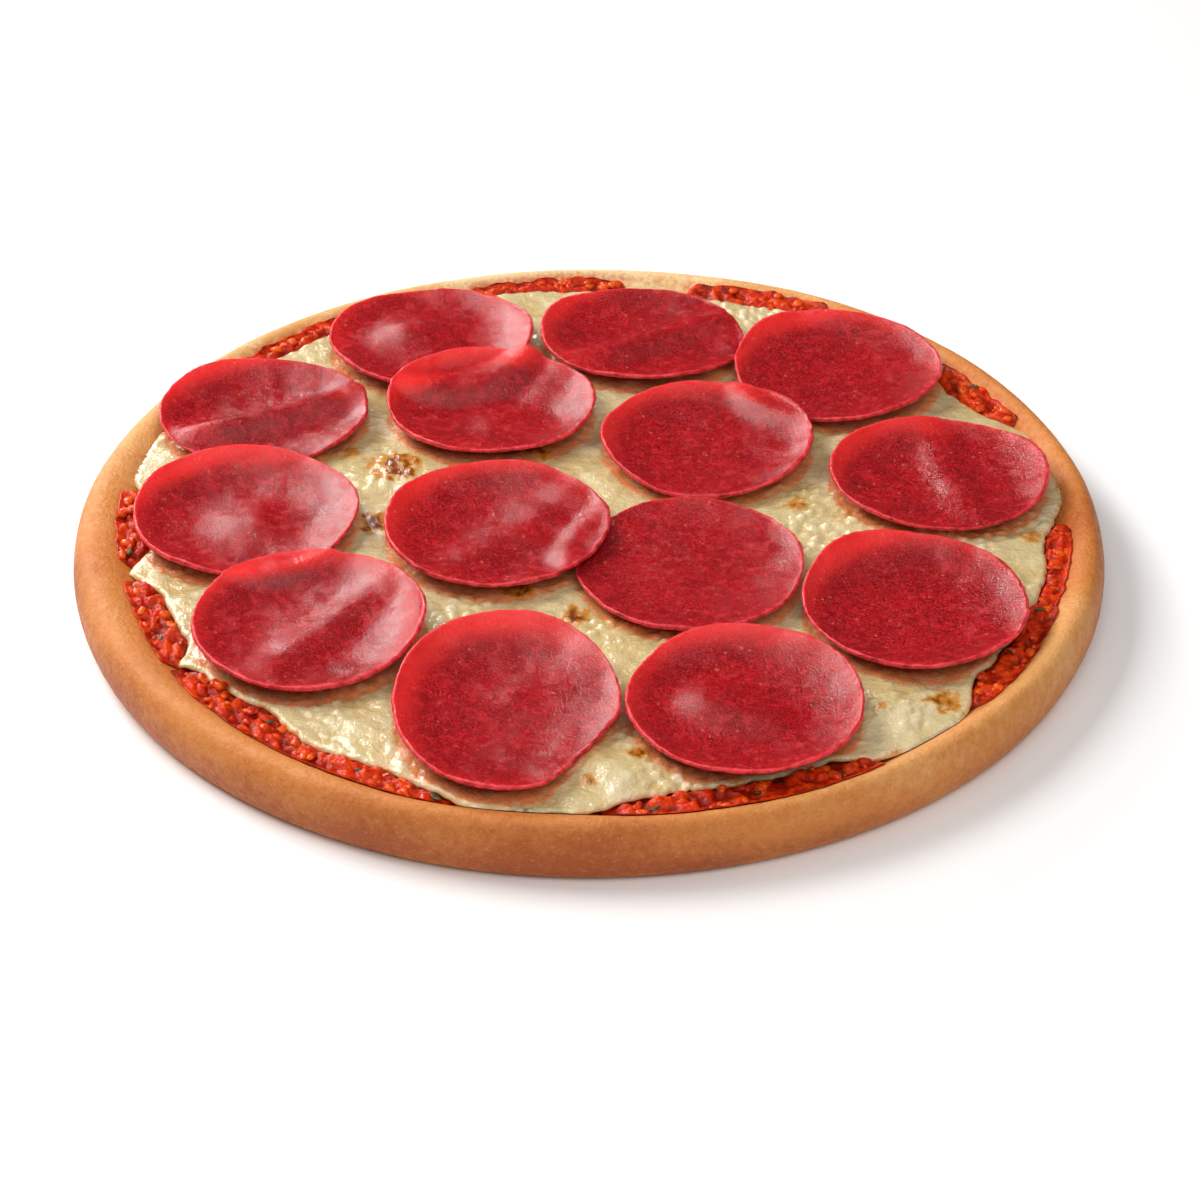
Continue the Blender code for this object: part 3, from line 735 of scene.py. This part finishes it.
def meatFinish():
    material, tree, shader, where = newFinish("curedMeat")
    lip = valueOf(tree, "lip")
    wall = valueOf(tree, "wall")
    broad = noiseOf(tree, where, 70.0, 3.0, 0.55)
    mottle = noiseOf(tree, where, 330.0, 3.0, 0.6)
    grain = noiseOf(tree, where, 1200.0, 3.0, 0.65)
    grist = noiseOf(tree, where, 2600.0, 2.0, 0.6)
    fat = cellsOf(tree, where, 430.0)
    picked = addNode(tree, "ShaderNodeSeparateColor", {"Color": fat.outputs["Color"]}).outputs[0]
    fatDot = mathOf(tree, "MULTIPLY", spanOf(tree, fat.outputs["Distance"], 0.26, 0.10),
                    spanOf(tree, picked, 0.76, 0.9))
    colour = mixOf(tree, spanOf(tree, grain, 0.36, 0.64), paint(126, 0, 10), paint(196, 12, 24))
    colour = mixOf(tree, spanOf(tree, broad, 0.36, 0.68, 0.0, 0.55), colour, paint(126, 0, 10))
    colour = mixOf(tree, spanOf(tree, mottle, 0.5, 0.7, 0.0, 0.5), colour, paint(206, 30, 42))
    colour = mixOf(tree, spanOf(tree, mottle, 0.45, 0.3, 0.0, 0.4), colour, paint(112, 0, 8))
    colour = mixOf(tree, spanOf(tree, grist, 0.54, 0.68, 0.0, 0.6), colour, paint(232, 84, 84))
    colour = mixOf(tree, spanOf(tree, grist, 0.46, 0.34, 0.0, 0.5), colour, paint(92, 0, 6))
    # painted glow: lifted walls are painted brighter red, standing in for back light shining through them
    colour = mixOf(tree, mathOf(tree, "MULTIPLY", wall, 0.95), colour, paint(255, 52, 50))
    colour = mixOf(tree, mathOf(tree, "MULTIPLY", fatDot, 0.5), colour, paint(240, 132, 92))
    # the cut edge paler pink: partly its own colour and partly painted light shining through the thin
    # edge
    colour = mixOf(tree, mathOf(tree, "MULTIPLY", lip, spanOf(tree, mottle, 0.35, 0.6, 0.1, 0.7)), colour,
                   paint(240, 78, 88))
    rough = spanOf(tree, mottle, 0.35, 0.65, 0.12, 0.3)
    relief = bumpOf(tree, grist, 0.0001, 1.0)
    relief = bumpOf(tree, grain, 0.0002, 1.0, relief)
    wire(tree, shader, colour=colour, rough=rough, normal=relief)
    setShader(shader, softness=0.7, softReach=(1.0, 0.08, 0.06), softScale=0.003, shine=0.4)
    return material


def makeSlice(index, material):
    piece = sliceForm["pieces"][index]
    # rings as shares of the radius, closer together towards the edge
    rings = [0.98 * math.sin(0.5 * math.pi * step / sliceForm["topRings"]) ** 0.9
             for step in range(1, sliceForm["topRings"] + 1)]
    points = [(0.0, 1.0)] + [(share, 1.0) for share in rings] + sliceForm["cutEdge"]
    points += [(1.0 - step / sliceForm["underRings"], 0.0)
               for step in range(1, sliceForm["underRings"] + 1)]
    shape = turnedShape(points, sliceForm["segments"])
    lipBy, wallGlowBy = {}, {}
    base = cheeseForm["level"] + sliceForm["overCheese"]
    for vert in shape.verts:
        share = min(vert.co.xy.length, 1.0)
        angle = math.degrees(math.atan2(vert.co.y, vert.co.x))
        level = vert.co.z
        spot = slicePlace(index, share, angle, level)
        lift = spot.z - base - sliceForm["thickness"]
        # wall is a painted glow, strongest on lifted walls that face away from the back light
        lit = 0.25 + 0.75 * max(heading(angle - sliceForm["backLight"])[0], 0.0)
        wallGlowBy[vert] = smoothStep(2.4 * mm, 6.2 * mm, lift) * smoothStep(0.5, 0.85, share) * lit
        lipBy[vert] = smoothStep(0.972, 0.996, share)
        flat = Vector((spot.x, spot.y, 0.0))
        size, depth, seed = sliceForm["grit"]
        relief = depth * ripple(flat, size, seed)
        for size, depth, seed in sliceForm["dents"]:
            relief += depth * (ripple(flat, size, seed) - 0.35)
        outward = Vector((*heading(angle), 0.0))
        uneven = ripple(spot, 1.7 * mm, 13.0) + 0.6 * ripple(spot, 5.0 * mm, 14.0)
        ragged = sliceForm["ragged"] * (uneven - 0.3)
        spot += outward * ragged * smoothStep(0.93, 0.99, share)
        wave = sliceForm["wave"] * ripple(flat, sliceForm["waveSize"], 16.0)
        relief += wave * smoothStep(0.55, 1.0, share)
        spot.z += relief * (1.0 - 0.4 * lipBy[vert]) * (0.3 + 0.7 * level)
        spot.z = min(spot.z, cadHigh.z - 0.05 * mm)
        vert.co = spot
    shape.verts.index_update()
    lip = [lipBy[vert] for vert in shape.verts]
    wall = [wallGlowBy[vert] for vert in shape.verts]
    number = f"{piece['number']:02d}"
    mesh = meshFrom(shape, "pepperoniSlice" + number)
    addValues(mesh, "lip", lip)
    addValues(mesh, "wall", wall)
    showPiece("pepperoniSlice" + number, mesh, material, "pepperoni", "pepperoni_" + number)
    return mesh


def makeSlices():
    material = meatFinish()
    meshes = [makeSlice(index, material) for index in range(len(sliceForm["pieces"]))]
    print("pepperoni made,", len(meshes), "slices of", len(meshes[0].polygons), "faces")
    return meshes


cheeseForm = {
    "cells": 280,
    "level": 15.7 * mm,
    "underside": 13.45 * mm,
    # soft rises: (x, y, radius, height) in mm
    "mounds": [(4.5, -119.0, 15.0, 3.0), (81.0, -93.0, 9.0, 1.6), (112.0, -74.0, 12.0, 1.4),
               (-58.0, -103.0, 14.0, 1.0), (-62.0, 28.0, 16.0, 1.2), (5.0, 24.0, 14.0, 1.0),
               (68.0, 8.0, 14.0, 0.9)],
    # browned spots: (x, y, radius, rise in mm, how brown)
    "blisters": [(-57.8, 26.1, 9.5, 0.9, 1.1), (-62.1, -3.6, 6.0, 0.3, 1.1),
                 (-45.6, 56.0, 4.5, 0.4, 0.7), (-71.6, 33.2, 4.5, 0.5, 0.6),
                 (-14.9, 36.0, 6.0, 0.5, 1.0), (-19.5, -37.0, 5.5, 0.4, 1.0),
                 (-3.9, -50.8, 6.0, 0.5, 0.9), (12.3, -115.5, 3.5, 0.3, 1.1),
                 (0.5, -127.5, 3.0, 0.3, 0.8), (78.1, -95.7, 2.5, 1.0, 0.5),
                 (95.9, -90.2, 6.5, 0.4, 0.75), (60.1, 5.9, 5.5, 0.5, 0.6),
                 (128.5, -10.0, 5.5, 0.5, 0.5), (29.0, -129.6, 4.0, 0.3, 0.5)],
    "pits": 340,  # small burst bubbles
    # soft waves: (size, height, seed)
    "waves": [(9.0 * mm, 0.75 * mm, 21.0), (3.4 * mm, 0.50 * mm, 22.0), (1.3 * mm, 0.10 * mm, 23.0)],
    "curd": 1.0 * mm,  # rounded curds some 4 mm across, in patches
    "lipWidth": 1.6 * mm,  # of the rounded edge
    "lipRings": [(0.7, 0.12), (0.55, 0.35), (0.3, 0.5), (0.0, 0.5)],  # (outward step, drop) in mm
    # how brown the lip is, and how much oil and painted orange glow it has: (least, more in patches,
    # their size, seed)
    "lipTints": [(0.12, 0.25, 6.0 * mm, 31.0), (0.25, 0.3, 9.0 * mm, 32.0)],
    "hiddenEdge": 126.0 * mm,  # where the edge ends underneath
    "sliceGap": 0.12 * mm,  # between the cheese and a slice that rests on it
}


def cheeseHeight(x, y):
    # the plain height, which the slices lie on too
    waves = 0.25 * math.sin(x / (11.0 * mm) + 0.6) * math.cos(y / (13.0 * mm))
    waves += 0.15 * math.sin((x + 0.7 * y) / (7.0 * mm))
    height = cheeseForm["level"] + waves * mm
    for moundX, moundY, radius, rise in cheeseForm["mounds"]:
        distance = math.hypot(x - moundX * mm, y - moundY * mm)
        if distance < 3.5 * radius * mm:
            height += rise * mm * math.exp(-((distance / (radius * mm)) ** 2))
    return height


def cheeseFinish():
    material, tree, shader, where = newFinish("meltedCheese")
    brown = valueOf(tree, "brown")
    oilAndGlow = valueOf(tree, "oilAndGlow")
    crest = valueOf(tree, "crest")
    cloud = noiseOf(tree, where, 55.0, 4.0, 0.55)
    fine = noiseOf(tree, where, 380.0, 4.0, 0.6)
    tiny = noiseOf(tree, where, 1200.0, 2.0, 0.6)
    colour = mixOf(tree, spanOf(tree, cloud, 0.34, 0.68), paint(224, 206, 162), paint(210, 187, 130))
    # painted shade in the hollows and painted highlight on the crests
    colour = mixOf(tree, spanOf(tree, crest, 0.35, 0.0, 0.0, 0.5), colour, paint(202, 168, 98))
    colour = mixOf(tree, spanOf(tree, crest, 0.5, 1.0, 0.0, 0.8), colour, paint(240, 228, 194))
    colour = mixOf(tree, spanOf(tree, fine, 0.56, 0.72, 0.0, 0.3), colour, paint(234, 220, 178))
    # orange near the slices and at the edge: partly oil and partly painted glow of light through the red
    # slices
    oilAndGlowShare = mathOf(tree, "MULTIPLY", oilAndGlow, spanOf(tree, fine, 0.25, 0.7, 0.4, 1.0))
    colour = mixOf(tree, spanOf(tree, oilAndGlowShare, 0.1, 0.9, 0.0, 0.8), colour, paint(238, 128, 66))
    scorched = mathOf(tree, "MULTIPLY", brown, spanOf(tree, fine, 0.28, 0.62, 0.45, 1.25))
    colour = mixOf(tree, spanOf(tree, scorched, 0.08, 0.42), colour, paint(206, 138, 44))
    colour = mixOf(tree, spanOf(tree, scorched, 0.38, 0.8), colour, paint(134, 62, 12))
    rough = spanOf(tree, tiny, 0.3, 0.7, 0.14, 0.3)
    relief = bumpOf(tree, tiny, 0.0002, 0.7)
    relief = bumpOf(tree, fine, 0.0009, 0.8, relief)
    wire(tree, shader, colour=colour, rough=rough, normal=relief, glaze=relief)
    setShader(shader, softness=0.3, softReach=(1.0, 0.7, 0.35), softScale=0.0015,
              coat=0.9, coatRough=0.06)
    return material


def brownedSpots(x, y):
    # how far the browned spots rise here, and how brown they are
    rise, shade = 0.0, 0.0
    for spotX, spotY, radius, height, tone in cheeseForm["blisters"]:
        distance = math.hypot(x - spotX * mm, y - spotY * mm) / (radius * mm)
        if distance > 2.0:
            continue
        rim = distance + 0.45 * ripple((x, y, 0.0), 3.0 * mm, spotX)
        bubbles = 0.45 + 0.55 * lumps((x, y, 0.0), 2.6 * mm, spotY)
        rise += height * mm * (1.0 - smoothStep(0.3, 1.0, rim)) * bubbles
        patchy = 0.65 + 0.6 * ripple((x, y, 0.0), 2.2 * mm, spotY)
        shade = max(shade, tone * (1.0 - smoothStep(0.3, 1.15, rim)) * patchy)
    return rise, shade


def scatteredPits():
    # (x, y, radius, depth) in mm, and a tree to find those nearby
    picker = random.Random(7)
    pits = []
    for _ in range(cheeseForm["pits"]):
        radius = 136.0 * math.sqrt(picker.random())
        x, y = heading(picker.uniform(0.0, 360.0))
        pits.append((radius * x, radius * y, picker.uniform(0.7, 1.8), -picker.uniform(0.2, 0.6)))
    tree = kdtree.KDTree(len(pits))
    for index, pit in enumerate(pits):
        tree.insert(Vector((pit[0] * mm, pit[1] * mm, 0.0)), index)
    tree.balance()
    return pits, tree


def pitHeight(spot, pits, tree):
    # each pit has a low raised rim
    height = 0.0
    for _, index, distance in tree.find_range(spot, 2.6 * mm):
        size, depth = pits[index][2] * mm, pits[index][3] * mm
        share = distance / size
        height += depth * math.exp(-share * share * 2.0)
        height -= 0.35 * depth * math.exp(-((share - 1.1) / 0.3) ** 2)
    return height


def makeCheese(sliceMeshes):
    slices = bmesh.new()
    for mesh in sliceMeshes:
        slices.from_mesh(mesh)
    sliceTree = BVHTree.FromBMesh(slices)
    pits, pitTree = scatteredPits()

    def surface(x, y):
        # height, how brown, how much oil and painted red-orange glow, and whether it is a crest or a
        # hollow, for painted highlight and shade
        spot = (x, y, 0.0)
        soft = sum(rise * ripple(spot, size, seed) for size, rise, seed in cheeseForm["waves"])
        patch = smoothStep(-0.05, 0.4, ripple(spot, 26.0 * mm, 24.0))
        curd = lumps(spot, 3.6 * mm, 25.0) * patch
        rise, shade = brownedSpots(x, y)
        pit = pitHeight(Vector(spot), pits, pitTree)
        relief = soft + (curd - 0.5 * patch) * cheeseForm["curd"] + pit
        # how high the relief lies, used for painted highlight and painted shade
        crest = min(max(0.35 + relief / (1.8 * mm), 0.0), 1.0)
        height = cheeseHeight(x, y) + relief + rise
        above = sliceTree.ray_cast(Vector((x, y, 0.0)), Vector((0.0, 0.0, 1.0)))
        if above[0] is not None:
            rest = above[0].z - cheeseForm["sliceGap"]
            near = 1.0 - smoothStep(0.9 * mm, 2.4 * mm, rest - height)
            return min(height + max(rest - height, 0.0) * near * 0.8, rest), shade, 1.0, crest
        nearest, _, _, gap = sliceTree.find_nearest(Vector((x, y, height)))
        climb = max(nearest.z - height, 0.0)
        if climb < 1.8 * mm:
            height += climb * 0.6 * math.exp(-gap / (1.2 * mm))
        # oil and painted red-orange glow near the slices, fading with the gap
        return height, shade, math.exp(-gap / (3.0 * mm)), crest

    shape = bmesh.new()
    cells = cheeseForm["cells"]
    bmesh.ops.create_grid(shape, x_segments=cells, y_segments=cells, size=1.0)
    values = {}
    for vert in shape.verts:
        x, y = vert.co.x, vert.co.y
        spread = Vector((x * math.sqrt(1.0 - y * y / 2.0), y * math.sqrt(1.0 - x * x / 2.0), 0.0))
        angle = math.degrees(math.atan2(spread.y, spread.x))
        reach = cheeseEdge(angle) - cheeseForm["lipWidth"]
        spot = polar(reach * min(spread.length, 1.0), angle, 0.0)
        height, *values[vert] = surface(spot.x, spot.y)
        radius = spot.length
        if radius > doughForm["rimStart"]:
            height = max(height, doughHeight(radius, angle) + 0.35 * mm)
        vert.co = (spot.x, spot.y, height)
    rim = [edge for edge in shape.edges if edge.is_boundary]
    for outward, drop in cheeseForm["lipRings"]:
        grown = bmesh.ops.extrude_edge_only(shape, edges=rim)["geom"]
        rim = [item for item in grown if isinstance(item, bmesh.types.BMEdge)]
        for item in grown:
            if not isinstance(item, bmesh.types.BMVert):
                continue
            angle = math.degrees(math.atan2(item.co.y, item.co.x))
            radius = item.co.xy.length + outward * mm
            floor = doughHeight(radius, angle) + 0.1 * mm
            item.co = polar(radius, angle, max(item.co.z - drop * mm, floor))
            values[item] = [least + more * max(ripple(item.co, size, seed), 0.0)
                            for least, more, size, seed in cheeseForm["lipTints"]] + [0.5]
    grown = bmesh.ops.extrude_edge_only(shape, edges=rim)["geom"]
    rim = [item for item in grown if isinstance(item, bmesh.types.BMEdge)]
    for item in grown:
        if isinstance(item, bmesh.types.BMVert):
            angle = math.degrees(math.atan2(item.co.y, item.co.x))
            item.co = polar(cheeseForm["hiddenEdge"], angle, cheeseForm["underside"])
            values[item] = [0.0, 0.5, 0.5]
    bmesh.ops.contextual_create(shape, geom=rim)
    shape.verts.index_update()
    columns = list(zip(*[values[vert] for vert in shape.verts]))
    mesh = meshFrom(shape, "cheeseLayer")
    for name, column in zip(("brown", "oilAndGlow", "crest"), columns):
        addValues(mesh, name, column)
    showPiece("cheeseLayer", mesh, cheeseFinish(), "cheese", "cheese")
    slices.free()
    print("cheese made,", len(mesh.polygons), "faces")


herbForm = {
    # (x, y in mm, length in mm)
    "spots": [(-131.6, -18.8, 3.4), (-84.9, -100.1, 2.6), (-39.6, -132.6, 4.0), (17.3, -138.0, 3.0),
              (65.8, -123.3, 3.0), (118.1, 72.5, 3.4), (126.0, -47.8, 3.0), (115.5, -69.4, 2.6),
              (7.9, 127.3, 2.6), (-118.0, -62.0, 2.2), (-60.0, -121.0, 2.4), (44.0, -131.0, 2.2)],
    "width": 0.45,  # as a share of the length
}


def herbFinish():
    material, tree, shader, where = newFinish("driedHerb")
    patchy = noiseOf(tree, where, 900.0, 3.0, 0.6)
    colour = mixOf(tree, spanOf(tree, patchy, 0.35, 0.65), paint(34, 40, 14), paint(84, 88, 34))
    wire(tree, shader, colour=colour, rough=spanOf(tree, patchy, 0.3, 0.7, 0.45, 0.7),
         normal=bumpOf(tree, patchy, 0.0003, 0.7))
    return material


def makeHerbs():
    picker = random.Random(3)
    shape = bmesh.new()
    for x, y, length in herbForm["spots"]:
        leaf = bmesh.ops.create_icosphere(shape, subdivisions=2, radius=0.5)["verts"]
        angle = math.degrees(math.atan2(y, x))
        radius = math.hypot(x, y) * mm
        rest = max(cheeseHeight(x * mm, y * mm), doughHeight(radius, angle) + 0.6 * mm) + 0.5 * mm
        turn = picker.uniform(0.0, math.tau)
        for vert in leaf:
            bend = 1.0 + 0.5 * ripple(vert.co * 2.0 + Vector((x, y, 0.0)), 0.8)
            flat = Vector((vert.co.x * length * bend, vert.co.y * length * herbForm["width"] * bend,
                           vert.co.z * 0.5 + 0.4 * vert.co.x * vert.co.x))
            vert.co = Vector((x * mm + (flat.x * math.cos(turn) - flat.y * math.sin(turn)) * mm,
                              y * mm + (flat.x * math.sin(turn) + flat.y * math.cos(turn)) * mm,
                              rest + flat.z * mm))
    mesh = meshFrom(shape, "herbFlecks")
    showPiece("herbFlecks", mesh, herbFinish(), "sauce")
    print("herb flecks made,", len(herbForm["spots"]))


def makeFloor():
    shape = bmesh.new()
    bmesh.ops.create_grid(shape, x_segments=1, y_segments=1, size=studioAir["floorSize"] * 0.5)
    mesh = bpy.data.meshes.new("studioFloor")
    for vert in shape.verts:
        vert.co.z = -0.3 * mm
    shape.to_mesh(mesh)
    shape.free()
    material, tree, shader, where = newFinish("paleFloor")
    tone = studioAir["floorTone"]
    soft = noiseOf(tree, where, 40.0, 2.0, 0.5)
    colour = mixOf(tree, soft, (tone, tone, tone, 1.0), (tone * 1.02, tone * 1.02, tone * 1.02, 1.0))
    wire(tree, shader, colour=colour)
    shader.inputs["Roughness"].default_value = 0.7
    mesh.materials.append(material)
    floor = bpy.data.objects.new("studioFloor", mesh)
    bpy.context.scene.collection.objects.link(floor)


setCamera()
setLights()
makeFloor()
makeDough()
makeSauce()
makeTomato()
meats = makeSlices()
makeCheese(meats)
makeHerbs()
